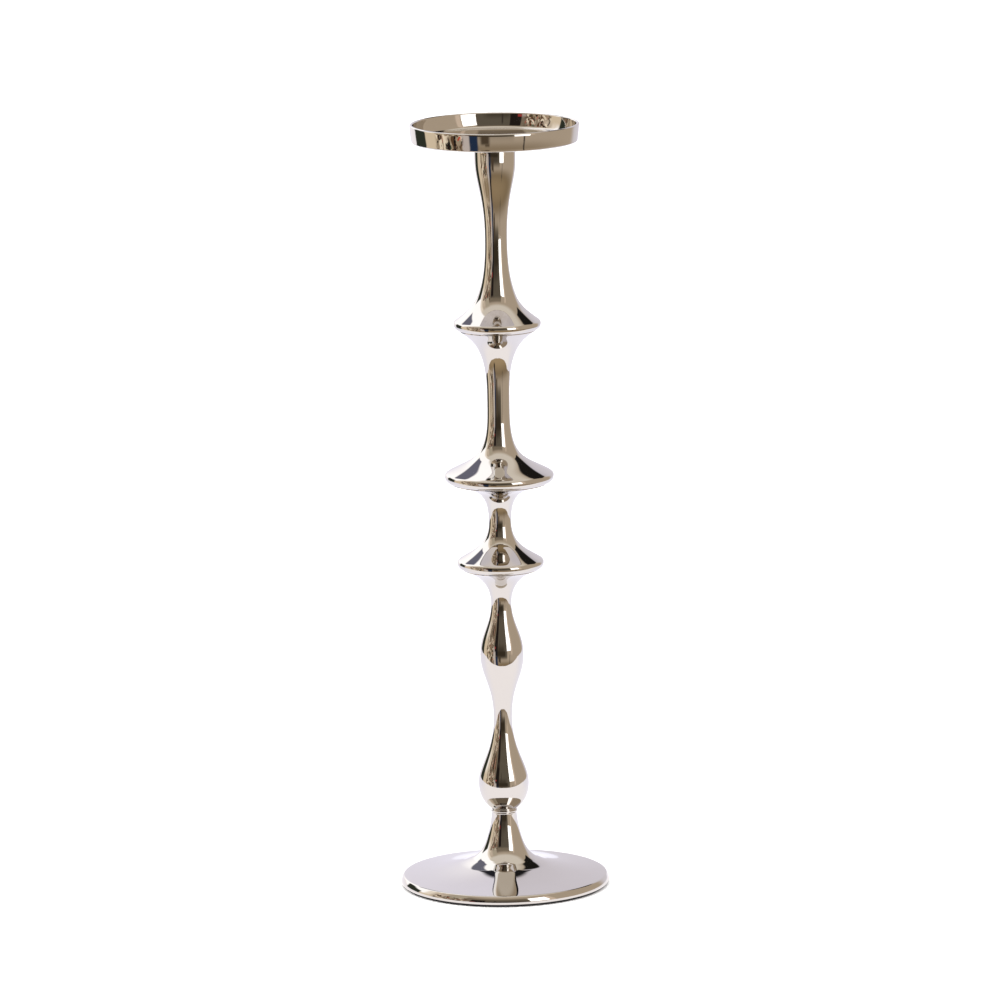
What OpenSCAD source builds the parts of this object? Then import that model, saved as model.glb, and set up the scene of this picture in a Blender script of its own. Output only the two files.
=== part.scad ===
// Tall pillar-candle stick: five turned and polished castings stacked on short steel studs, with a
// shallow dish screwed on top and a black felt pad under the foot.
// Millimetres, +Z up. The origin is on the axis, in the plane the felt pad stands on.

/* [Felt pad] */
// Diameter of the felt pad
pad_d = 145; // [130:1:146]
// Thickness of the felt pad
pad_h = 2; // [1:0.5:3]

/* [Foot] */
// Widest diameter of the foot
foot_d = 150; // [148:1:160]
// Height of the foot casting, from the felt pad to the joint with the baluster
foot_h = 53.5; // [52:0.5:56]
// Height of the foot's rounded edge
foot_edge_h = 6.2; // [5:0.1:7]
// Diameter of the neck, just below the bead
neck_d = 18.2; // [17:0.2:20]
// Height of the bead round the top of the neck
bead_h = 2.2; // [1.6:0.1:2.4]

/* [Baluster] */
// Length of the baluster casting
baluster_h = 176; // [165:0.5:185]
// Diameter of the bulb just above the foot
bulb_d = 36.4; // [34:0.2:40]
// Diameter of the slimmest waist, between the bulb and the swelling
baluster_waist_d = 13.4; // [12:0.2:15]
// Diameter of the swelling halfway up
swelling_d = 31.4; // [28:0.2:34]
// Diameter of the waist above the swelling
baluster_neck_d = 14.8; // [13:0.2:17]

/* [Lower spool] */
// Length of the lower spool casting
lower_spool_h = 62.5; // [58:0.5:68]
// Diameter of its flange
lower_flange_d = 62; // [58:1:66]
// Diameter of its waist
lower_waist_d = 16.2; // [14:0.2:19]

/* [Middle spool] */
// Length of the middle spool casting
middle_spool_h = 110.5; // [104:0.5:118]
// Diameter of its flange, the widest of the three
middle_flange_d = 78; // [74:1:82]
// Diameter of its waist
middle_waist_d = 16.4; // [14:0.2:19]

/* [Top stem] */
// Length of the top stem casting
top_stem_h = 134.5; // [126:0.5:142]
// Diameter of its flange
upper_flange_d = 62.4; // [58:0.2:66]
// Diameter of its waist
top_waist_d = 16.2; // [14:0.2:19]
// Diameter of the bell that carries the dish
bell_d = 29.6; // [27:0.2:33]

/* [Dish] */
// Outer diameter of the dish at its rim
dish_d = 120.4; // [110:0.2:130]
// Height of the dish
dish_h = 13; // [10:0.5:16]
// Thickness of the dish wall
dish_wall = 2.2; // [1.6:0.1:3]
// Thickness of the dish floor
dish_floor = 2.2; // [2:0.1:4]

/* [Fasteners] */
// Thread diameter of the studs and of the foot bolt
stud_d = 8; // [6:1:8]
// Depth that a stud reaches into each casting
stud_reach = 15; // [12:1:16]
// Length of the foot bolt under its head
foot_bolt_l = 45; // [44:1:48]
// Thread diameter of the dish screw
dish_screw_d = 6; // [5:1:6]
// Length of the dish screw, head included
dish_screw_l = 20; // [16:1:24]

/* [Hidden] */
$fn = 96;

nickel = [0.80, 0.77, 0.73];
steel = [0.62, 0.63, 0.65];
felt = [0.06, 0.06, 0.07];

steps = 10;             // straight pieces in each bend of an outline
overlap = 1;            // how far a cutter runs past the face it opens
tap_spare = 1;          // depth of a tapped hole past the end of its stud

// Heights of the joint faces above the table
foot_z = pad_h;
baluster_z = foot_z + foot_h;
lower_spool_z = baluster_z + baluster_h;
middle_spool_z = lower_spool_z + lower_spool_h;
top_stem_z = middle_spool_z + middle_spool_h;
dish_z = top_stem_z + top_stem_h;

// Each flange overhangs the mouth of the casting below it by a narrow step
mouth_step = 3.5;       // from the flange's edge back to the mouth of the casting below
middle_step = 4.5;      // the same under the wide middle flange
mouth_edge = 0.5;       // height of the small upright edge round a mouth
seam = 0.3;             // the flange starts this far outside the mouth it sits on

// Hardware inside the foot
bolt_seat_z = foot_z + 26;   // face inside the foot that the flat washer bears on
bolt_seat_r = 9.5;
bolt_clear_r = stud_d / 2 + 0.5;
bolt_head_flats = 13;
bolt_head_h = 5.3;
washer_r = 8;
flat_washer_h = 1.6;
spring_washer_r = 7.4;
spring_washer_h = 2;
spring_gap = 1.2;            // width of the split in the spring washer
bolt_head_z = bolt_seat_z - flat_washer_h - spring_washer_h - bolt_head_h;
bolt_chamfer = 0.6;

// Countersunk dish screw
screw_head_r = dish_screw_d;
screw_r = dish_screw_d / 2;
screw_clear_r = screw_r + 0.3;
screw_land = 0.3;            // upright band round the top of the head
socket_flats = 4;
socket_depth = 2.2;

// ---- Outlines ----------------------------------------------------------------------------
// An outline runs through stations of [radius, height, lean, pull before, pull after]. Lean is the
// outline's direction there, in degrees from straight up, positive outwards. A pull is how far the
// curve keeps to that direction, as a share of the distance to the next station.

function lean(angle) = [sin(angle), cos(angle)];
function place(s) = [s[0], s[1]];

// Point at share t of the bend between stations a and b
function bend(a, b, t) =
    let (
        reach = norm(place(b) - place(a)),
        leaving = place(a) + lean(a[2]) * a[4] * reach,
        arriving = place(b) - lean(b[2]) * b[3] * reach,
        u = 1 - t
    )
    u * u * u * place(a) + 3 * u * u * t * leaving + 3 * u * t * t * arriving + t * t * t * place(b);

// Points of the whole outline
function outline(stations) = [
    place(stations[0]),
    for (i = [0 : len(stations) - 2]) for (k = [1 : steps])
        bend(stations[i], stations[i + 1], k / steps)
];

// A solid of revolution under an outline, closed along the axis
module turned(stations) {
    points = outline(stations);
    last = points[len(points) - 1];
    rotate_extrude()
        polygon(concat([[0, points[0][1]]], points, [[0, last[1]]]));
}

// The rounded edge of a flange, from the seam below it to the start of its upper slope
function flange_edge(r, step, rise, upper_lean) = [
    [r - step + seam, 0, 75, 0.3, 0.3],
    [r, rise, 0, 0.45, 0.45],
    [r - 2.6, rise + 3.5, upper_lean, 0.4, 0.3]
];

// A threaded hole; the thread itself is left out, so the wall is at the stud's radius
module tapped_hole(r, depth) {
    cylinder(r = r, h = depth + tap_spare);
}

// ---- Castings ----------------------------------------------------------------------------

foot_r = foot_d / 2;
neck_r = neck_d / 2;
foot_outline = [
    [foot_r - 0.9, 0, 40, 0.3, 0.3],
    [foot_r, 1.6, -6, 0.4, 0.35],
    [foot_r - 1.6, foot_edge_h - 0.9, -33, 0.35, 0.35],
    [foot_r - 2.7, foot_edge_h - 0.2, -83, 0.4, 0.35],
    [33, 13.1, -74.3, 0.4, 0.35],
    [23.7, 16.9, -66, 0.35, 0.35],
    [19, 20.5, -45, 0.3, 0.32],
    [12, 34.8, -16, 0.35, 0.35],
    [neck_r + 0.1, foot_h - bead_h - 1.3, -4, 0.35, 0.35],
    [neck_r + 0.15, foot_h - bead_h, 30, 0.3, 0.3],
    [neck_r + 0.5, foot_h - bead_h / 2, 0, 0.5, 0.5],
    [neck_r, foot_h - 0.3, -50, 0.4, 0.3],
    [neck_r - 0.2, foot_h, -20, 0.3, 0.3]
];

// The hollow under the foot, up to the face that the flat washer bears on
foot_hollow = [
    [foot_r - 6, 0, -5, 0.3, 0.3],
    [foot_r - 8, 2.2, -75, 0.4, 0.3],
    [foot_r - 30, 6.6, -77.5, 0.35, 0.35],
    [19, 14.5, -50, 0.35, 0.35],
    [bolt_seat_r, 25, 0, 0.4, 0.3],
    [bolt_seat_r, bolt_seat_z - foot_z, 0, 0.3, 0.3]
];

module foot() {
    color(nickel)
        translate([0, 0, foot_z])
            difference() {
                turned(foot_outline);
                turned(foot_hollow);
                translate([0, 0, -overlap])
                    cylinder(r = foot_hollow[0][0], h = overlap);
                cylinder(r = bolt_clear_r, h = foot_h + overlap);
            }
}

// Heights along the baluster are shares of its length
function along(share) = share * baluster_h;
baluster_mouth_r = lower_flange_d / 2 - mouth_step;
baluster_outline = [
    [neck_r - 0.2, 0, 35, 0.3, 0.3],
    [neck_r + 0.5, 0.7, 55, 0.3, 0.3],
    [bulb_d / 2, along(0.11), 0, 0.42, 0.26],
    [baluster_waist_d / 2, along(0.383), 0, 0.5, 0.5],
    [swelling_d / 2, along(0.645), 0, 0.36, 0.4],
    [baluster_neck_d / 2, along(0.856), 0, 0.4, 0.45],
    [baluster_mouth_r, baluster_h - mouth_edge, 70, 0.35, 0.3],
    [baluster_mouth_r, baluster_h, 0, 0, 0]
];

module baluster() {
    color(nickel)
        translate([0, 0, baluster_z])
            difference() {
                turned(baluster_outline);
                tapped_hole(stud_d / 2, stud_reach);
                translate([0, 0, baluster_h])
                    mirror([0, 0, 1])
                        tapped_hole(stud_d / 2, stud_reach);
            }
}

lower_mouth_r = middle_flange_d / 2 - middle_step;
lower_spool_outline = concat(
    flange_edge(lower_flange_d / 2, mouth_step, 4.2, -58),
    [
        [lower_waist_d / 2, 0.54 * lower_spool_h, 0, 0.5, 0.5],
        [lower_mouth_r - 12, lower_spool_h - 4, 70, 0.42, 0.3],
        [lower_mouth_r, lower_spool_h - mouth_edge, 72, 0.35, 0.3],
        [lower_mouth_r, lower_spool_h, 0, 0, 0]
    ]
);

module lower_spool() {
    color(nickel)
        translate([0, 0, lower_spool_z])
            difference() {
                turned(lower_spool_outline);
                tapped_hole(stud_d / 2, stud_reach);
                translate([0, 0, lower_spool_h])
                    mirror([0, 0, 1])
                        tapped_hole(stud_d / 2, stud_reach);
            }
}

middle_mouth_r = upper_flange_d / 2 - mouth_step;
middle_spool_outline = concat(
    flange_edge(middle_flange_d / 2, middle_step, 4.7, -60),
    [
        [14.9, 21.5, -38, 0.3, 0.3],
        [middle_waist_d / 2, 0.507 * middle_spool_h, 0, 0.4, 0.4],
        [15.1, middle_spool_h - 12.4, 31, 0.32, 0.35],
        [middle_mouth_r, middle_spool_h - mouth_edge, 53, 0.35, 0.3],
        [middle_mouth_r, middle_spool_h, 0, 0, 0]
    ]
);

module middle_spool() {
    color(nickel)
        translate([0, 0, middle_spool_z])
            difference() {
                turned(middle_spool_outline);
                tapped_hole(stud_d / 2, stud_reach);
                translate([0, 0, middle_spool_h])
                    mirror([0, 0, 1])
                        tapped_hole(stud_d / 2, stud_reach);
            }
}

top_stem_outline = concat(
    flange_edge(upper_flange_d / 2, mouth_step, 4.2, -54),
    [
        [14.1, 23.6, -22, 0.35, 0.3],
        [top_waist_d / 2, 0.49 * top_stem_h, 0, 0.4, 0.54],
        [bell_d / 2, top_stem_h - 12.5, 0, 0.3, 0.4],
        [bell_d / 2 - 3.8, top_stem_h, -60, 0.4, 0.3]
    ]
);

module top_stem() {
    color(nickel)
        translate([0, 0, top_stem_z])
            difference() {
                turned(top_stem_outline);
                tapped_hole(stud_d / 2, stud_reach);
                translate([0, 0, top_stem_h])
                    mirror([0, 0, 1])
                        tapped_hole(screw_r, dish_screw_l - dish_floor);
            }
}

// ---- Dish --------------------------------------------------------------------------------

dish_r = dish_d / 2;
dish_taper = 1;              // the wall leans outwards by this much over its height
dish_corner = 1.3;           // outside radius between the floor and the wall
lip_r = dish_wall / 2;
dish_inner_r = dish_r - dish_wall;

// Points on a quarter turn about centre, from one angle to another
function arc(centre, r, from, to) = [
    for (k = [0 : steps]) centre + r * [cos(from + (to - from) * k / steps), sin(from + (to - from) * k / steps)]
];

// Inside of the dish, from the edge of its flat floor up the slightly flaring wall to the lip
dish_well = outline([
    [dish_inner_r - 4.2, dish_floor, 88, 0.4, 0.45],
    [dish_inner_r - 1.7, dish_floor + 1.9, 17, 0.45, 0.35],
    [dish_inner_r, dish_h - lip_r, 7, 0.35, 0.3]
]);

dish_section = concat(
    [[0, 0]],
    arc([dish_r - dish_taper - dish_corner, dish_corner], dish_corner, -90, 0),
    arc([dish_r - lip_r, dish_h - lip_r], lip_r, 0, 180),
    [for (i = [len(dish_well) - 1 : -1 : 0]) dish_well[i]],
    [[0, dish_floor]]
);

// Cone and band of the countersunk head, with the head's top face at height 0
module countersink(spare) {
    cone_h = (screw_head_r - screw_r) / 2;
    translate([0, 0, -screw_land - cone_h])
        cylinder(r1 = screw_r, r2 = screw_head_r, h = cone_h);
    translate([0, 0, -screw_land])
        cylinder(r = screw_head_r, h = screw_land + spare);
}

module candle_dish() {
    color(nickel)
        translate([0, 0, dish_z])
            difference() {
                rotate_extrude()
                    polygon(dish_section);
                translate([0, 0, -overlap])
                    cylinder(r = screw_clear_r, h = dish_floor);
                translate([0, 0, dish_floor])
                    countersink(overlap);
            }
}

module dish_screw() {
    color(steel)
        translate([0, 0, dish_z + dish_floor])
            difference() {
                union() {
                    countersink(0);
                    translate([0, 0, -dish_screw_l])
                        cylinder(r = screw_r, h = dish_screw_l - screw_land);
                }
                translate([0, 0, -socket_depth])
                    cylinder(d = socket_flats / cos(30), h = socket_depth + overlap, $fn = 6);
            }
}

// ---- Studs, bolt and washers -------------------------------------------------------------

// A threaded stud with chamfered ends, half in each of the castings that meet at height z
module stud(z) {
    chamfer = 0.8;
    r = stud_d / 2;
    color(steel)
        translate([0, 0, z - stud_reach])
            rotate_extrude()
                polygon([
                    [0, 0], [r - chamfer, 0], [r, chamfer],
                    [r, 2 * stud_reach - chamfer], [r - chamfer, 2 * stud_reach], [0, 2 * stud_reach]
                ]);
}

module lower_stud() {
    stud(lower_spool_z);
}

module middle_stud() {
    stud(middle_spool_z);
}

module upper_stud() {
    stud(top_stem_z);
}

module foot_bolt() {
    r = stud_d / 2;
    color(steel)
        translate([0, 0, bolt_head_z]) {
            cylinder(d = bolt_head_flats / cos(30), h = bolt_head_h, $fn = 6);
            translate([0, 0, bolt_head_h])
                cylinder(r = r, h = foot_bolt_l - bolt_chamfer);
            translate([0, 0, bolt_head_h + foot_bolt_l - bolt_chamfer])
                cylinder(r1 = r, r2 = r - bolt_chamfer, h = bolt_chamfer);
        }
}

module spring_washer() {
    color(steel)
        translate([0, 0, bolt_head_z + bolt_head_h])
            difference() {
                cylinder(r = spring_washer_r, h = spring_washer_h);
                translate([0, 0, -overlap])
                    cylinder(r = stud_d / 2 + 0.2, h = spring_washer_h + 2 * overlap);
                translate([0, -spring_gap / 2, -overlap])
                    cube([washer_r, spring_gap, spring_washer_h + 2 * overlap]);
            }
}

module flat_washer() {
    color(steel)
        translate([0, 0, bolt_seat_z - flat_washer_h])
            difference() {
                cylinder(r = washer_r, h = flat_washer_h);
                translate([0, 0, -overlap])
                    cylinder(r = stud_d / 2 + 0.3, h = flat_washer_h + 2 * overlap);
            }
}

module felt_pad() {
    color(felt)
        cylinder(d = pad_d, h = pad_h);
}

felt_pad();
foot();
foot_bolt();
spring_washer();
flat_washer();
baluster();
lower_stud();
lower_spool();
middle_stud();
middle_spool();
upper_stud();
top_stem();
candle_dish();
dish_screw();
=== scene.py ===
import math
import random

import bmesh
import bpy
from mathutils import Matrix, Vector


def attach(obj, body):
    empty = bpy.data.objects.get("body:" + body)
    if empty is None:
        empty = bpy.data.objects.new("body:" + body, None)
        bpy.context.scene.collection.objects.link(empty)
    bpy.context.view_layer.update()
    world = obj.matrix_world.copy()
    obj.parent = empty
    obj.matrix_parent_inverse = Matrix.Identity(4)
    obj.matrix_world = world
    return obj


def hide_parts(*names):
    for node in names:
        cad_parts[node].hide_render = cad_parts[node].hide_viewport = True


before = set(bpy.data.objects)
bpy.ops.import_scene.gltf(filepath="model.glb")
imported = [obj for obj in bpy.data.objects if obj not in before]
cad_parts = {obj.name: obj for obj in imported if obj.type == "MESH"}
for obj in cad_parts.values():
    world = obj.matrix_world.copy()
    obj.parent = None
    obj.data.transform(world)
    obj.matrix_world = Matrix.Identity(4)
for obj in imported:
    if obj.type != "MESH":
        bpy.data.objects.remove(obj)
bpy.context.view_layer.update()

MM = 0.001
BEND_STEPS = 14          # points in each bend of a turned outline
TURN_STEPS = 192         # sides of a turned piece
ON_AXIS = 1e-7           # metres; a point nearer the axis than this becomes a pole
random.seed(7)


# ---- Colours -------------------------------------------------------------------------------

def tone(red, green, blue):
    """A display colour, 0 to 255, as the linear colour that Blender's shaders use."""
    def linear(value):
        share = value / 255
        return share / 12.92 if share <= 0.04045 else ((share + 0.055) / 1.055) ** 2.4
    return (linear(red), linear(green), linear(blue), 1.0)


# ---- Outlines of the turned castings ---------------------------------------------------------
# An outline runs through stations of (radius, height, lean, pull before, pull after), in
# millimetres. Lean is the direction of the outline there, in degrees from straight up, positive
# outwards, and a pull is how far the curve keeps to it, as a share of the way to the next station.

def lean(angle):
    return Vector((math.sin(math.radians(angle)), math.cos(math.radians(angle))))


def bend(a, b, share):
    start = Vector(a[:2])
    end = Vector(b[:2])
    reach = (end - start).length
    leaving = start + lean(a[2]) * a[4] * reach
    arriving = end - lean(b[2]) * b[3] * reach
    rest = 1 - share
    return (start * rest ** 3 + leaving * 3 * rest ** 2 * share
            + arriving * 3 * rest * share ** 2 + end * share ** 3)


def outline(stations, base):
    """Points (radius, height) in metres of the outline, standing at height base in millimetres."""
    points = [Vector(stations[0][:2])]
    for a, b in zip(stations[:-1], stations[1:]):
        if a[4] == 0 and b[3] == 0:
            points.append(Vector(b[:2]))
            continue
        for step in range(1, BEND_STEPS + 1):
            points.append(bend(a, b, step / BEND_STEPS))
    return [Vector((p.x, p.y + base)) * MM for p in points]


def flange_edge(radius, step, rise, upper_lean):
    return [
        (radius - step + 0.3, 0, 75, 0.3, 0.3),
        (radius, rise, 0, 0.45, 0.45),
        (radius - 2.6, rise + 3.5, upper_lean, 0.4, 0.3),
    ]


def arc(centre_r, centre_z, radius, first, last, base):
    points = []
    for step in range(BEND_STEPS + 1):
        angle = math.radians(first + (last - first) * step / BEND_STEPS)
        points.append(Vector((centre_r + radius * math.cos(angle),
                              centre_z + radius * math.sin(angle) + base)) * MM)
    return points


# ---- Turning an outline into a piece -----------------------------------------------------------

def turn(name, section, sides=TURN_STEPS, crease=35):
    """A turned piece from a closed section of (radius, height) points in metres. Points on the axis
    become poles. Faces meet smoothly unless the outline bends by more than crease degrees."""
    mesh = bmesh.new()
    rings = []
    for point in section:
        if point.x < ON_AXIS:
            rings.append([mesh.verts.new((0, 0, point.y))])
            continue
        ring = []
        for side in range(sides):
            angle = 2 * math.pi * side / sides
            place = (point.x * math.cos(angle), point.x * math.sin(angle), point.y)
            ring.append(mesh.verts.new(place))
        rings.append(ring)
    for lower, upper in zip(rings, rings[1:] + rings[:1]):
        if len(lower) == 1 and len(upper) == 1:
            continue
        for side in range(sides):
            after = (side + 1) % sides
            if len(lower) == 1:
                corners = (lower[0], upper[after], upper[side])
            elif len(upper) == 1:
                corners = (lower[side], lower[after], upper[0])
            else:
                corners = (lower[side], lower[after], upper[after], upper[side])
            mesh.faces.new(corners)
    bmesh.ops.recalc_face_normals(mesh, faces=mesh.faces)
    for face in mesh.faces:
        face.smooth = True
    for edge in mesh.edges:
        if edge.calc_face_angle(0) > math.radians(crease):
            edge.smooth = False
    data = bpy.data.meshes.new(name)
    mesh.to_mesh(data)
    mesh.free()
    piece = bpy.data.objects.new(name, data)
    bpy.context.scene.collection.objects.link(piece)
    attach(piece, "root")
    return piece


def bored(outer, bottom, top):
    """Closes an outer outline with the blind holes in its two ends. bottom and top are
    (radius, height of the hole's floor) in millimetres."""
    low = outer[0].y
    high = outer[-1].y
    return outer + [
        Vector((top[0] * MM, high)),
        Vector((top[0] * MM, top[1] * MM)),
        Vector((0, top[1] * MM)),
        Vector((0, bottom[1] * MM)),
        Vector((bottom[0] * MM, bottom[1] * MM)),
        Vector((bottom[0] * MM, low)),
    ]


# ---- Shader helpers ----------------------------------------------------------------------------

class Tree:
    """Short calls for building a node tree."""

    def __init__(self, tree):
        self.nodes = tree.nodes
        self.links = tree.links
        self.nodes.clear()

    def add(self, kind, **settings):
        node = self.nodes.new(kind)
        for key, value in settings.items():
            setattr(node, key, value)
        return node

    def put(self, socket, value):
        if isinstance(value, bpy.types.NodeSocket):
            self.links.new(value, socket)
        else:
            socket.default_value = value

    def math(self, operation, *values):
        node = self.add("ShaderNodeMath", operation=operation)
        for socket, value in zip(node.inputs, values):
            self.put(socket, value)
        return node.outputs[0]

    def ramp(self, value, low, high, out_low=0.0, out_high=1.0):
        """Value eased from out_low at low to out_high at high."""
        node = self.add("ShaderNodeMapRange", interpolation_type="SMOOTHSTEP")
        self.put(node.inputs["Value"], value)
        node.inputs["From Min"].default_value = low
        node.inputs["From Max"].default_value = high
        node.inputs["To Min"].default_value = out_low
        node.inputs["To Max"].default_value = out_high
        return node.outputs["Result"]

    def band(self, value, first, last, soft):
        """1 between first and last, easing to 0 over soft on each side."""
        rise = self.ramp(value, first - soft, first + soft)
        fall = self.ramp(value, last - soft, last + soft, 1.0, 0.0)
        return self.math("MULTIPLY", rise, fall)

    def mix(self, share, a, b):
        node = self.add("ShaderNodeMix", data_type="RGBA")
        self.put(node.inputs["Factor"], share)
        self.put(node.inputs["A"], a)
        self.put(node.inputs["B"], b)
        return node.outputs["Result"]

    def noise(self, vector, scale, detail=3.0, roughness=0.5, distortion=0.0):
        node = self.add("ShaderNodeTexNoise")
        self.put(node.inputs["Vector"], vector)
        node.inputs["Scale"].default_value = scale
        node.inputs["Detail"].default_value = detail
        node.inputs["Roughness"].default_value = roughness
        node.inputs["Distortion"].default_value = distortion
        return node.outputs["Fac"]

    def split(self, vector):
        """The x, y and z of a vector."""
        node = self.add("ShaderNodeSeparateXYZ")
        self.put(node.inputs[0], vector)
        return node.outputs

    def axis_distance(self, x, y):
        squares = self.math("ADD", self.math("MULTIPLY", x, x), self.math("MULTIPLY", y, y))
        return self.math("SQRT", squares)

    def bump(self, height, strength, distance):
        node = self.add("ShaderNodeBump")
        node.inputs["Strength"].default_value = strength
        node.inputs["Distance"].default_value = distance
        self.put(node.inputs["Height"], height)
        return node

    def surface(self, shader):
        out = self.add("ShaderNodeOutputMaterial")
        self.put(out.inputs["Surface"], shader.outputs[0])


def new_material(name):
    material = bpy.data.materials.new(name)
    material.use_nodes = True
    return material, Tree(material.node_tree)


# ---- Materials -----------------------------------------------------------------------------------

NICKEL = (0.70, 0.675, 0.65, 1.0)
NICKEL_WARM = (0.665, 0.635, 0.60, 1.0)
TARNISH = (0.30, 0.24, 0.18, 1.0)
THREAD_PITCH = 0.00125   # metres, of the lines on the studs and the bolt
LATHE_RING = 0.0004      # metres between the turning rings on the dish screw


def nickel_material(name, seams, haze, ripple):
    """Polished nickel plate over turned castings: faint buffing lines round the axis, soft smudges,
    slight waviness in the reflections, and a little tarnish in the seams at the heights given."""
    material, tree = new_material(name)
    place = tree.add("ShaderNodeTexCoord").outputs["Object"]
    x, y, z = tree.split(place)
    radius = tree.axis_distance(x, y)

    # Buffing lines run round the axis, so they change with height and radius and hardly with angle
    rings = tree.add("ShaderNodeCombineXYZ")
    tree.put(rings.inputs[0], tree.math("MULTIPLY", x, 0.02))
    tree.put(rings.inputs[1], tree.math("MULTIPLY", y, 0.02))
    tree.put(rings.inputs[2], tree.math("ADD", z, radius))
    lines = tree.noise(rings.outputs[0], 5200.0, 2.0, 0.6)

    cloud = tree.noise(place, 26.0, 4.0, 0.6, 0.4)
    smudge = tree.ramp(tree.noise(place, 85.0, 5.0, 0.62, 0.8), 0.52, 0.74)
    pores = tree.ramp(tree.noise(place, 1900.0, 1.0, 0.5), 0.74, 0.82)

    tarnish = 0.0
    for height in seams:
        close = tree.band(z, height - 0.0003, height + 0.0003, 0.0007)
        tarnish = tree.math("MAXIMUM", tarnish, close)
    patchy = tree.ramp(cloud, 0.3, 0.65, 0.35, 1.0)
    tarnish = tree.math("MULTIPLY", tarnish, patchy)

    plate = tree.mix(cloud, NICKEL, NICKEL_WARM)
    plate = tree.mix(tree.math("MULTIPLY", tarnish, 0.4), plate, TARNISH)
    plate = tree.mix(tree.math("MULTIPLY", pores, 0.35), plate, TARNISH)

    rough = tree.math("ADD", 0.018, tree.math("MULTIPLY", smudge, haze))
    rough = tree.math("ADD", rough, tree.math("MULTIPLY", lines, 0.012))
    rough = tree.math("ADD", rough, tree.math("MULTIPLY", tarnish, 0.15))

    wave = tree.bump(tree.noise(place, 34.0, 1.0, 0.4), ripple, 0.0006)
    pits = tree.math("SUBTRACT", lines, tree.math("MULTIPLY", pores, 2.0))
    grain = tree.bump(pits, 0.05, 0.00002)
    tree.put(grain.inputs["Normal"], wave.outputs[0])

    shader = tree.add("ShaderNodeBsdfPrincipled")
    tree.put(shader.inputs["Base Color"], plate)
    shader.inputs["Metallic"].default_value = 1.0
    tree.put(shader.inputs["Roughness"], rough)
    tree.put(shader.inputs["Normal"], grain.outputs[0])
    tree.surface(shader)
    return material


def steel_material(name):
    """Plated steel of the hidden fasteners: turning lines, dull patches and a trace of oil."""
    material, tree = new_material(name)
    place = tree.add("ShaderNodeTexCoord").outputs["Object"]
    height = tree.split(place)[2]
    turns = tree.math("SINE", tree.math("MULTIPLY", height, 2 * math.pi / THREAD_PITCH))
    cloud = tree.noise(place, 140.0, 4.0, 0.6)
    shade = tree.mix(cloud, (0.46, 0.46, 0.47, 1.0), (0.64, 0.64, 0.63, 1.0))
    bump = tree.bump(turns, 0.5, 0.0003)
    shader = tree.add("ShaderNodeBsdfPrincipled")
    tree.put(shader.inputs["Base Color"], shade)
    shader.inputs["Metallic"].default_value = 1.0
    tree.put(shader.inputs["Roughness"], tree.ramp(cloud, 0.3, 0.7, 0.22, 0.42))
    tree.put(shader.inputs["Normal"], bump.outputs[0])
    tree.surface(shader)
    return material


def screw_material(name):
    """Nickel-plated head of the dish screw: brighter than the studs, with fine rings of the lathe."""
    material, tree = new_material(name)
    place = tree.add("ShaderNodeTexCoord").outputs["Object"]
    x, y, z = tree.split(place)
    radius = tree.axis_distance(x, y)
    rings = tree.math("SINE", tree.math("MULTIPLY", tree.math("ADD", radius, z), 2 * math.pi / LATHE_RING))
    cloud = tree.noise(place, 220.0, 3.0, 0.6)
    shade = tree.mix(cloud, (0.60, 0.59, 0.57, 1.0), (0.74, 0.73, 0.71, 1.0))
    bump = tree.bump(rings, 0.15, 0.00004)
    shader = tree.add("ShaderNodeBsdfPrincipled")
    tree.put(shader.inputs["Base Color"], shade)
    shader.inputs["Metallic"].default_value = 1.0
    tree.put(shader.inputs["Roughness"], tree.ramp(cloud, 0.3, 0.7, 0.10, 0.24))
    tree.put(shader.inputs["Normal"], bump.outputs[0])
    tree.surface(shader)
    return material


def felt_material(name):
    """Black wool felt, painted near black so that it also stands in for the shade in the gap under the foot's
    rim: matted fibres, lighter lint and a faint sheen.
    """
    material, tree = new_material(name)
    place = tree.add("ShaderNodeTexCoord").outputs["Object"]
    fibres = tree.noise(place, 1500.0, 6.0, 0.75, 2.5)
    mats = tree.noise(place, 190.0, 4.0, 0.6, 0.8)
    lint = tree.ramp(tree.noise(place, 820.0, 3.0, 0.5, 3.0), 0.64, 0.72)
    # Near black: the felt's own colour, darkened further as painted shade of the gap under the foot
    shade = tree.mix(mats, (0.006, 0.006, 0.007, 1.0), (0.018, 0.017, 0.019, 1.0))
    shade = tree.mix(tree.math("MULTIPLY", fibres, 0.35), shade, (0.040, 0.038, 0.042, 1.0))
    shade = tree.mix(tree.math("MULTIPLY", lint, 0.4), shade, (0.10, 0.09, 0.09, 1.0))
    bump = tree.bump(fibres, 0.8, 0.0003)
    shader = tree.add("ShaderNodeBsdfPrincipled")
    tree.put(shader.inputs["Base Color"], shade)
    tree.put(shader.inputs["Roughness"], tree.ramp(mats, 0.3, 0.7, 0.88, 1.0))
    shader.inputs["Specular IOR Level"].default_value = 0.2
    shader.inputs["Sheen Weight"].default_value = 0.08
    shader.inputs["Sheen Roughness"].default_value = 0.5
    tree.put(shader.inputs["Normal"], bump.outputs[0])
    tree.surface(shader)
    return material


# ---- Heights of the joints, in millimetres above the table ------------------------------------------

FOOT_Z = 2
FOOT_H = 53.5
BALUSTER_Z = FOOT_Z + FOOT_H
BALUSTER_H = 176
LOWER_Z = BALUSTER_Z + BALUSTER_H
LOWER_H = 62.5
MIDDLE_Z = LOWER_Z + LOWER_H
MIDDLE_H = 110.5
STEM_Z = MIDDLE_Z + MIDDLE_H
STEM_H = 134.5
DISH_Z = STEM_Z + STEM_H
DISH_H = 13

# ---- Radii and depths, in millimetres ----------------------------------------------------------------

STUD_R = 4
TAP_SPARE = 1            # a tapped hole runs on this far past the end of what it holds
TAP_DEPTH = 15 + TAP_SPARE
BOLT_CLEAR_R = 4.5
BOLT_SEAT = 26           # height above the foot's base of the face that the washers bear on

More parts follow.
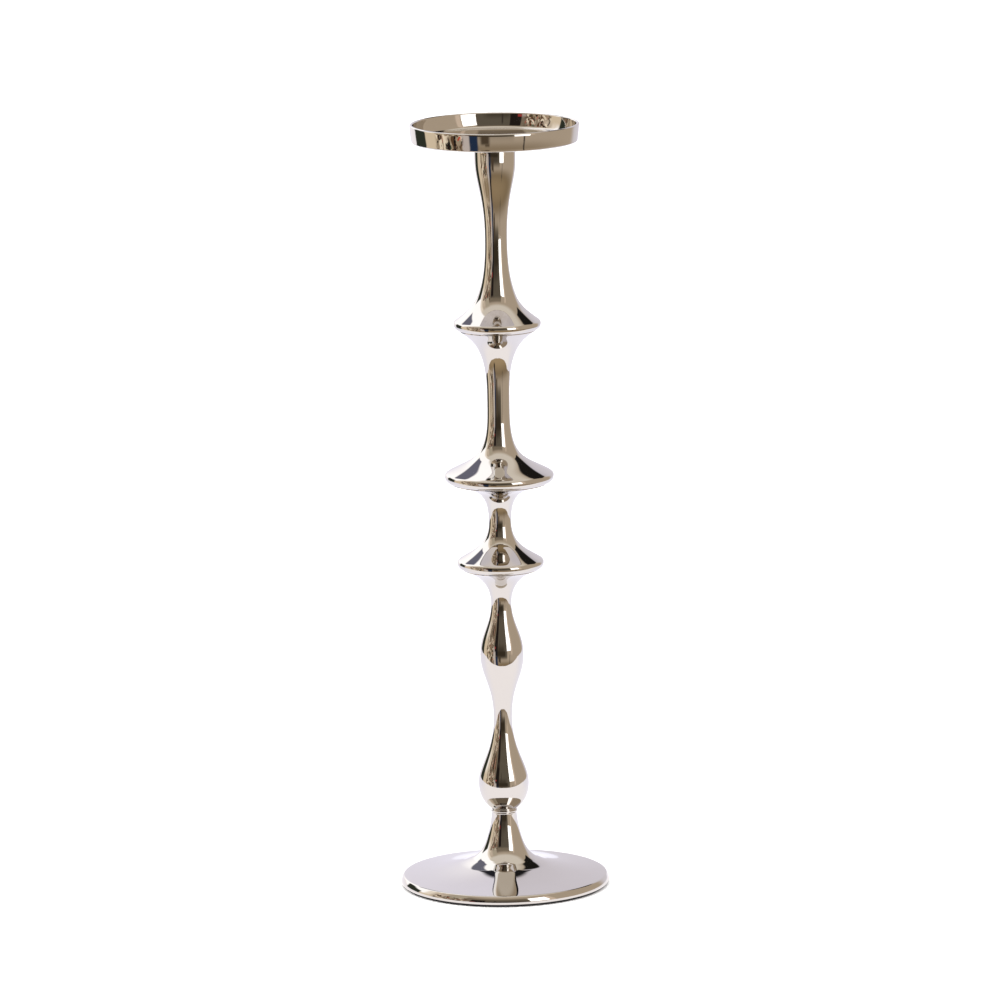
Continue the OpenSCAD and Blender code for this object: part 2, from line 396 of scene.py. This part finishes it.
DISH_R = 60.2
DISH_INNER_R = 58
DISH_FLOOR = 2.2
DISH_TAPER = 1           # the wall leans outwards by this much
DISH_CORNER = 1.3        # outside radius between the floor and the wall
LIP_R = 1.1
WALL_STEPS = 12          # rings up the outside of the wall
WALL_SWELL = 0.12        # how far the outside of the wall bows outwards halfway up
SCREW_R = 3
SCREW_L = 20
SCREW_CLEAR_R = 3.3
SCREW_HEAD_R = 6
SCREW_LAND = 0.3         # upright band round the top of the screw's head
COUNTERSINK = 1.65       # depth below the floor where the cone meets the clearance hole

PAD_R = 72.5
PAD_H = 2
FRAY = 0.16              # how far the felt's edge is frayed inwards at most
FRAY_BAND = 1            # width of the edge that is frayed

# ---- Outlines -----------------------------------------------------------------------------------------

FOOT_R = 75
NECK_R = 9.1
FOOT_OUTLINE = [
    (FOOT_R - 0.9, 0, 40, 0.3, 0.3),
    (FOOT_R, 1.6, -6, 0.4, 0.35),
    (FOOT_R - 1.6, 5.3, -33, 0.35, 0.35),
    (FOOT_R - 2.7, 6.0, -83, 0.4, 0.35),
    (33, 13.1, -74.3, 0.4, 0.35),
    (23.7, 16.9, -66, 0.35, 0.35),
    (19, 20.5, -45, 0.3, 0.32),
    (12, 34.8, -16, 0.35, 0.35),
    (NECK_R + 0.1, FOOT_H - 3.5, -4, 0.35, 0.35),
    (NECK_R + 0.15, FOOT_H - 2.2, 30, 0.3, 0.3),
    (NECK_R + 0.5, FOOT_H - 1.1, 0, 0.5, 0.5),
    (NECK_R, FOOT_H - 0.3, -50, 0.4, 0.3),
    (NECK_R - 0.2, FOOT_H, -20, 0.3, 0.3),
]
FOOT_HOLLOW = [
    (FOOT_R - 6, 0, -5, 0.3, 0.3),
    (FOOT_R - 8, 2.2, -75, 0.4, 0.3),
    (FOOT_R - 30, 6.6, -77.5, 0.35, 0.35),
    (19, 14.5, -50, 0.35, 0.35),
    (9.5, 25, 0, 0.4, 0.3),
    (9.5, BOLT_SEAT, 0, 0.3, 0.3),
]
BALUSTER_OUTLINE = [
    (NECK_R - 0.2, 0, 35, 0.3, 0.3),
    (NECK_R + 0.5, 0.7, 55, 0.3, 0.3),
    (18.2, 0.11 * BALUSTER_H, 0, 0.42, 0.26),
    (6.7, 0.383 * BALUSTER_H, 0, 0.5, 0.5),
    (15.7, 0.645 * BALUSTER_H, 0, 0.36, 0.4),
    (7.4, 0.856 * BALUSTER_H, 0, 0.4, 0.45),
    (27.5, BALUSTER_H - 0.5, 70, 0.35, 0),
    (27.5, BALUSTER_H, 0, 0, 0),
]
LOWER_OUTLINE = flange_edge(31, 3.5, 4.2, -58) + [
    (8.1, 0.54 * LOWER_H, 0, 0.5, 0.5),
    (22.5, LOWER_H - 4, 70, 0.42, 0.3),
    (34.5, LOWER_H - 0.5, 72, 0.35, 0),
    (34.5, LOWER_H, 0, 0, 0),
]
MIDDLE_OUTLINE = flange_edge(39, 4.5, 4.7, -60) + [
    (14.9, 21.5, -38, 0.3, 0.3),
    (8.2, 0.507 * MIDDLE_H, 0, 0.4, 0.4),
    (15.1, MIDDLE_H - 12.4, 31, 0.32, 0.35),
    (27.7, MIDDLE_H - 0.5, 53, 0.35, 0),
    (27.7, MIDDLE_H, 0, 0, 0),
]
STEM_OUTLINE = flange_edge(31.2, 3.5, 4.2, -54) + [
    (14.1, 23.6, -22, 0.35, 0.3),
    (8.1, 0.49 * STEM_H, 0, 0.4, 0.54),
    (14.8, STEM_H - 12.5, 0, 0.3, 0.4),
    (11, STEM_H, -60, 0.4, 0.3),
]
DISH_WELL = [
    (DISH_INNER_R - 4.2, DISH_FLOOR, 88, 0.4, 0.45),
    (DISH_INNER_R - 1.7, DISH_FLOOR + 1.9, 17, 0.45, 0.35),
    (DISH_INNER_R, DISH_H - LIP_R, 7, 0.35, 0.3),
]


# ---- Camera ------------------------------------------------------------------------------------------

PITCH_DOWN = 10.597      # degrees
ROLL = -0.8365           # degrees; a turned stem is straight, so the camera carries its lean
SENSOR = 36              # millimetres
FOCAL_SHARE = 7.0648     # focal length as a share of the sensor's width
CAMERA_PLACE = (0.0002, -4.957, 1.2084)
camera_data = bpy.data.cameras.new("camera")
camera_data.sensor_width = SENSOR
camera_data.lens = SENSOR * FOCAL_SHARE
camera_data.clip_start = 0.5
camera_data.clip_end = 60
camera = bpy.data.objects.new("camera", camera_data)
bpy.context.scene.collection.objects.link(camera)
camera.matrix_world = (
    Matrix.Translation(CAMERA_PLACE)
    @ Matrix.Rotation(math.radians(90 - PITCH_DOWN), 4, "X")
    @ Matrix.Rotation(math.radians(ROLL), 4, "Z")
)
bpy.context.scene.camera = camera
bpy.context.scene.view_settings.view_transform = "Standard"
bpy.context.scene.view_settings.look = "None"


# ---- Studio: floor, lights and the room that the nickel mirrors ----------------------------------------

def quad(name, corners, material):
    data = bpy.data.meshes.new(name)
    data.from_pydata(corners, [], [range(len(corners))])
    data.materials.append(material)
    piece = bpy.data.objects.new(name, data)
    bpy.context.scene.collection.objects.link(piece)
    return piece


def rectangle(x0, x1, y0, y1, z):
    return [(x0, y0, z), (x1, y0, z), (x1, y1, z), (x0, y1, z)]


def plain_material(name, colour):
    material, tree = new_material(name)
    shader = tree.add("ShaderNodeBsdfDiffuse")
    shader.inputs["Color"].default_value = colour
    tree.surface(shader)
    return material


FLOOR_HALF = 20          # metres
floor_white = plain_material("floor_white", (0.92, 0.92, 0.92, 1))
floor = quad("floor", rectangle(-FLOOR_HALF, FLOOR_HALF, -FLOOR_HALF, FLOOR_HALF, 0), floor_white)
floor.visible_glossy = False

# Strength of the painted light that the table top glows with
TABLE_GLOW = 1.28


def glowing_table_material(name):
    """White table top that glows with painted light instead of being lit: warm near its front edge, cooler
    behind the candlestick and dimmer far back.
    """
    material, tree = new_material(name)
    back = tree.split(tree.add("ShaderNodeTexCoord").outputs["Object"])[1]
    # Painted light: warmer near the front edge, cooler behind, dimmer far back
    behind = tree.ramp(back, -0.08, 0.25)
    far = tree.ramp(back, 0.2, 1.4)
    colour = tree.mix(behind, (0.94, 0.905, 0.915, 1), (0.85, 0.84, 0.93, 1))
    colour = tree.mix(far, colour, (0.76, 0.745, 0.84, 1))
    shader = tree.add("ShaderNodeEmission")
    tree.put(shader.inputs["Color"], colour)
    shader.inputs["Strength"].default_value = TABLE_GLOW
    tree.surface(shader)
    return material


def only_mirrored(piece):
    """Leaves a piece of the studio to be seen in reflections alone."""
    piece.visible_camera = False
    piece.visible_diffuse = False
    piece.visible_shadow = False


# What the nickel sees in place of the floor: a glowing table top, its light painted in, with a curved front
# edge, in metres
TABLE_Z = -0.0002
TABLE_EDGE = [
    (-1.05, 6.0), (-1.05, 0.3), (-0.85, -0.02), (-0.5, -0.2), (-0.22, -0.30), (0.0, -0.33),
    (0.22, -0.30), (0.5, -0.2), (0.85, -0.02), (1.0, 0.3), (1.0, 6.0),
]
table_corners = [(x, y, TABLE_Z) for x, y in TABLE_EDGE]
only_mirrored(quad("table_top", table_corners, glowing_table_material("table_painted_light")))


def glow_material(name, colour, strength):
    material, tree = new_material(name)
    shader = tree.add("ShaderNodeEmission")
    shader.inputs["Color"].default_value = colour
    shader.inputs["Strength"].default_value = strength
    tree.surface(shader)
    return material


def upright_card(name, azimuths, heights, distance, material):
    """A flat upright card across the given azimuths and heights; azimuth 0 is towards the camera."""
    feet = []
    for azimuth in azimuths:
        angle = math.radians(azimuth)
        feet.append((distance * math.sin(angle), -distance * math.cos(angle)))
    (x0, y0), (x1, y1) = feet
    low, high = heights
    return quad(name, [(x0, y0, low), (x1, y1, low), (x1, y1, high), (x0, y0, high)], material)


# A tall bright window beyond the camera's right shoulder
window_light = glow_material("window_light", (1, 1, 1, 1), 2.6)
only_mirrored(upright_card("window", (27, 49), (0.225, 1.32), 1.6, window_light))

# The room by direction, in degrees. Azimuth 0 is towards the camera, and azimuths are positive
# towards the right-hand side of the picture. Each part is (from, to, softness) in azimuth, the
# same in elevation, and its tone. A later part covers the ones before it.
WALLS = [
    # Plain walls and a paler ceiling
    ((-200, 200, 1), (-20, 100, 6), tone(160, 146, 128)),
    ((-200, 200, 1), (54, 100, 6), tone(196, 188, 176)),
    # Walls to the left of the camera, pale to shaded
    ((-112, -92, 6), (-12, 56, 6), tone(222, 211, 196)),
    ((-92, -74, 5), (-12, 50, 6), tone(184, 170, 153)),
    ((-74, -48, 6), (-16, 28, 8), tone(138, 124, 107)),
    ((-74, -48, 6), (28, 54, 5), tone(160, 150, 132)),
    # White backdrop at the far left and behind
    ((-200, -104, 4), (4, 68, 4), tone(255, 254, 255)),
    ((-185, -104, 4), (-30, 6, 4), tone(226, 222, 226)),
    ((-114, -86, 3), (-26, 12, 5), tone(200, 184, 160)),
    ((-200, -166, 12), (-30, 46, 8), tone(206, 203, 214)),
    # Dark panels at the far left, high and low
    ((-166, -135, 1.5), (34, 50, 1.5), tone(98, 98, 112)),
    ((-138, -110, 1.5), (-24, 19, 2), tone(42, 46, 38)),
    # Dim end of the room around the camera, with the dark doorway in it
    ((-88, -46, 3), (-26, 10, 5), tone(150, 134, 112)),
    ((-50, 27, 3), (-14, 44, 5), tone(112, 101, 86)),
    ((-24, 27, 3), (-12, 33, 3), tone(84, 77, 66)),
    ((-24, 12, 8), (-8, 12, 7), tone(62, 55, 45)),
    ((-24, 18, 4), (-9, 2, 2.5), tone(50, 43, 33)),
    # Pale post, dark cabinet and blue panel just left of the camera
    ((-46, -34, 1), (-30, 8, 5), tone(178, 168, 162)),
    ((-40, -23, 0.8), (0, 31, 3), tone(30, 25, 22)),
    ((-19, -7, 2.5), (-19.5, -8, 1.5), tone(70, 59, 46)),
    ((-13, -7, 1), (-21, -19, 0.7), tone(84, 72, 57)),
    ((-35, -23, 1.5), (-28, -8, 3), tone(31, 44, 66)),
    ((-35, -23, 1.5), (-9, 3, 3), tone(26, 26, 30)),
    ((-35, -26, 1.5), (-40, -26, 3), tone(26, 24, 24)),
    # Window frame, then the right-hand wall and backdrop
    ((50, 57, 1.5), (-6, 44, 4), tone(192, 174, 156)),
    ((136, 170, 9), (-40, 32, 6), tone(192, 188, 194)),
    ((150, 172, 6), (26, 48, 4), tone(180, 176, 184)),
    ((160, 200, 12), (-40, 44, 8), tone(192, 188, 196)),
    # Dark panels high at the right and behind
    ((122, 164, 1.5), (33, 51, 1.5), tone(24, 22, 20)),
    ((166, 200, 1), (40.5, 54, 1.5), tone(24, 23, 24)),
    ((-200, -166, 1), (40.5, 54, 1.5), tone(30, 30, 36)),
    # Small things: a red box, a door edge and a lamp stand with its foot
    ((-40, -34, 0.8), (6, 10, 0.8), tone(138, 52, 48)),
    ((-13, -11, 0.4), (2, 24, 3), tone(52, 46, 40)),
    ((40.5, 42.5, 0.4), (-28, -6, 2), tone(60, 54, 48)),
    ((39.5, 43.5, 0.8), (-26, -23.5, 1), tone(66, 60, 54)),
]

# Each kind of clutter is (size of its pattern, threshold, tone)
CLUTTER = [
    (0.085, 0.52, tone(84, 62, 44)),
    (0.12, 0.55, tone(222, 208, 186)),
    (0.17, 0.57, tone(26, 22, 20)),
    (0.23, 0.64, tone(168, 70, 52)),
    (0.27, 0.66, tone(60, 92, 66)),
]
GROUND_FAR = tone(110, 94, 72)
GROUND_NEAR = tone(150, 130, 100)
CLUTTER_EDGE = 0.03      # softness of the edges of the clutter's shapes
MIRRORED_STRENGTH = 1.5  # of the room in reflections
SOFT_STRENGTH = 1.05     # of the even light that everything else gets


def build_room():
    world = bpy.data.worlds.new("studio")
    bpy.context.scene.world = world
    world.use_nodes = True
    tree = Tree(world.node_tree)
    direction = tree.add("ShaderNodeTexCoord").outputs["Generated"]
    x, y, z = tree.split(direction)
    azimuth = tree.math("DEGREES", tree.math("ARCTAN2", x, tree.math("MULTIPLY", y, -1.0)))
    elevation = tree.math("DEGREES", tree.math("ARCSINE", z))
    colour = tree.mix(tree.ramp(elevation, -45, -16), GROUND_NEAR, GROUND_FAR)
    for across, up, shade in WALLS:
        mask = tree.math("MULTIPLY", tree.band(azimuth, *across), tree.band(elevation, *up))
        colour = tree.mix(mask, colour, shade)

    # Shelves and odds and ends to the left of the camera, too small to make out
    clutter_place = tree.add("ShaderNodeCombineXYZ")
    tree.put(clutter_place.inputs[0], azimuth)
    tree.put(clutter_place.inputs[1], tree.math("MULTIPLY", elevation, 0.8))
    busy = tree.math("MULTIPLY", tree.band(azimuth, -89, -45, 3), tree.band(elevation, -26, 34, 6))
    for scale, threshold, shade in CLUTTER:
        pattern = tree.noise(clutter_place.outputs[0], scale, 3.0, 0.6, 0.6)
        mask = tree.math("MULTIPLY", busy, tree.ramp(pattern, threshold, threshold + CLUTTER_EDGE))
        colour = tree.mix(mask, colour, shade)

    mirrored = tree.add("ShaderNodeBackground")
    tree.put(mirrored.inputs["Color"], colour)
    mirrored.inputs["Strength"].default_value = MIRRORED_STRENGTH
    plain = tree.add("ShaderNodeBackground")
    plain.inputs["Color"].default_value = (1, 1, 1, 1)
    plain.inputs["Strength"].default_value = SOFT_STRENGTH
    choose = tree.add("ShaderNodeMixShader")
    rays = tree.add("ShaderNodeLightPath")
    tree.put(choose.inputs[0], rays.outputs["Is Glossy Ray"])
    tree.put(choose.inputs[1], plain.outputs[0])
    tree.put(choose.inputs[2], mirrored.outputs[0])
    out = tree.add("ShaderNodeOutputWorld")
    tree.put(out.inputs["Surface"], choose.outputs[0])


build_room()

sun_data = bpy.data.lights.new("soft_overhead", "SUN")
sun_data.energy = 2.6
sun_data.angle = math.radians(70)
sun = bpy.data.objects.new("soft_overhead", sun_data)
sun.rotation_euler = (math.radians(12), math.radians(-10), 0)
sun.visible_glossy = False
bpy.context.scene.collection.objects.link(sun)


# ---- The castings ----------------------------------------------------------------------------------------

def finish_piece(piece, material, node):
    piece.data.materials.append(material)
    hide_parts(node)


stem_seams = [LOWER_Z * MM, MIDDLE_Z * MM, STEM_Z * MM, BALUSTER_Z * MM]
stem_nickel = nickel_material("nickel_stem", stem_seams, 0.05, 0.10)
foot_nickel = nickel_material("nickel_foot", [BALUSTER_Z * MM, FOOT_Z * MM], 0.06, 0.10)
dish_nickel = nickel_material("nickel_dish", [DISH_Z * MM], 0.09, 0.10)

foot_section = outline(FOOT_OUTLINE, FOOT_Z)
foot_section.append(Vector((BOLT_CLEAR_R * MM, foot_section[-1].y)))
foot_section.append(Vector((BOLT_CLEAR_R * MM, (FOOT_Z + BOLT_SEAT) * MM)))
foot_section.extend(reversed(outline(FOOT_HOLLOW, FOOT_Z)))
foot = turn("foot_casting", foot_section)
finish_piece(foot, foot_nickel, "foot")


def stem_casting(name, node, stations, base, top_hole):
    """A casting of the stem standing at height base, with a stud in its lower end."""
    section = bored(outline(stations, base), (STUD_R, base + TAP_DEPTH), top_hole)
    finish_piece(turn(name, section), stem_nickel, node)


stem_casting("baluster_casting", "baluster", BALUSTER_OUTLINE, BALUSTER_Z, (STUD_R, LOWER_Z - TAP_DEPTH))
stem_casting("lower_spool_casting", "lower_spool", LOWER_OUTLINE, LOWER_Z, (STUD_R, MIDDLE_Z - TAP_DEPTH))
stem_casting("middle_spool_casting", "middle_spool", MIDDLE_OUTLINE, MIDDLE_Z, (STUD_R, STEM_Z - TAP_DEPTH))
stem_casting("top_stem_casting", "top_stem", STEM_OUTLINE, STEM_Z,
             (SCREW_R, DISH_Z - SCREW_L + DISH_FLOOR - TAP_SPARE))

dish_section = [Vector((SCREW_CLEAR_R, DISH_Z)) * MM]
dish_section += arc(DISH_R - DISH_TAPER - DISH_CORNER, DISH_CORNER, DISH_CORNER, -90, 0, DISH_Z)
for step in range(1, WALL_STEPS):
    share = step / WALL_STEPS
    wall_r = DISH_R - DISH_TAPER + DISH_TAPER * share + WALL_SWELL * math.sin(math.pi * share)
    wall_z = DISH_CORNER + (DISH_H - DISH_CORNER - LIP_R) * share
    dish_section.append(Vector((wall_r, DISH_Z + wall_z)) * MM)
dish_section += arc(DISH_R - LIP_R, DISH_H - LIP_R, LIP_R, 0, 180, DISH_Z)
dish_section += reversed(outline(DISH_WELL, DISH_Z))
floor_z = DISH_Z + DISH_FLOOR
dish_section.append(Vector((SCREW_HEAD_R, floor_z)) * MM)
dish_section.append(Vector((SCREW_HEAD_R, floor_z - SCREW_LAND)) * MM)
dish_section.append(Vector((SCREW_CLEAR_R, floor_z - COUNTERSINK)) * MM)
dish = turn("dish_casting", dish_section)
finish_piece(dish, dish_nickel, "candle_dish")

# ---- Felt pad ----------------------------------------------------------------------------------------------

pad_section = [
    Vector((0, 0.02)) * MM,
    Vector((PAD_R - 0.9, 0.0)) * MM,
    Vector((PAD_R - 0.35, 0.12)) * MM,
    Vector((PAD_R - 0.08, 0.5)) * MM,
    Vector((PAD_R, 1.0)) * MM,
    Vector((PAD_R - 0.08, 1.5)) * MM,
    Vector((PAD_R - 0.3, 1.85)) * MM,
    Vector((PAD_R - 0.8, PAD_H)) * MM,
    Vector((0, PAD_H)) * MM,
]
pad = turn("felt_disc", pad_section, sides=360, crease=60)
for vertex in pad.data.vertices:
    far = vertex.co.xy.length
    if far > (PAD_R - FRAY_BAND) * MM:
        vertex.co.xy *= 1 - random.random() * FRAY * MM / far
finish_piece(pad, felt_material("felt_black_painted_shade"), "felt_pad")

# ---- Fasteners: the CAD shapes stay, with their own finish ---------------------------------------------------

steel = steel_material("fastener_steel_plated")
screw = screw_material("dish_screw_plated")
fasteners = {node: steel for node in (
    "foot_bolt", "spring_washer", "flat_washer", "lower_stud", "middle_stud", "upper_stud")}
fasteners["dish_screw"] = screw
for node, material in fasteners.items():
    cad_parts[node].data.materials.clear()
    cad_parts[node].data.materials.append(material)
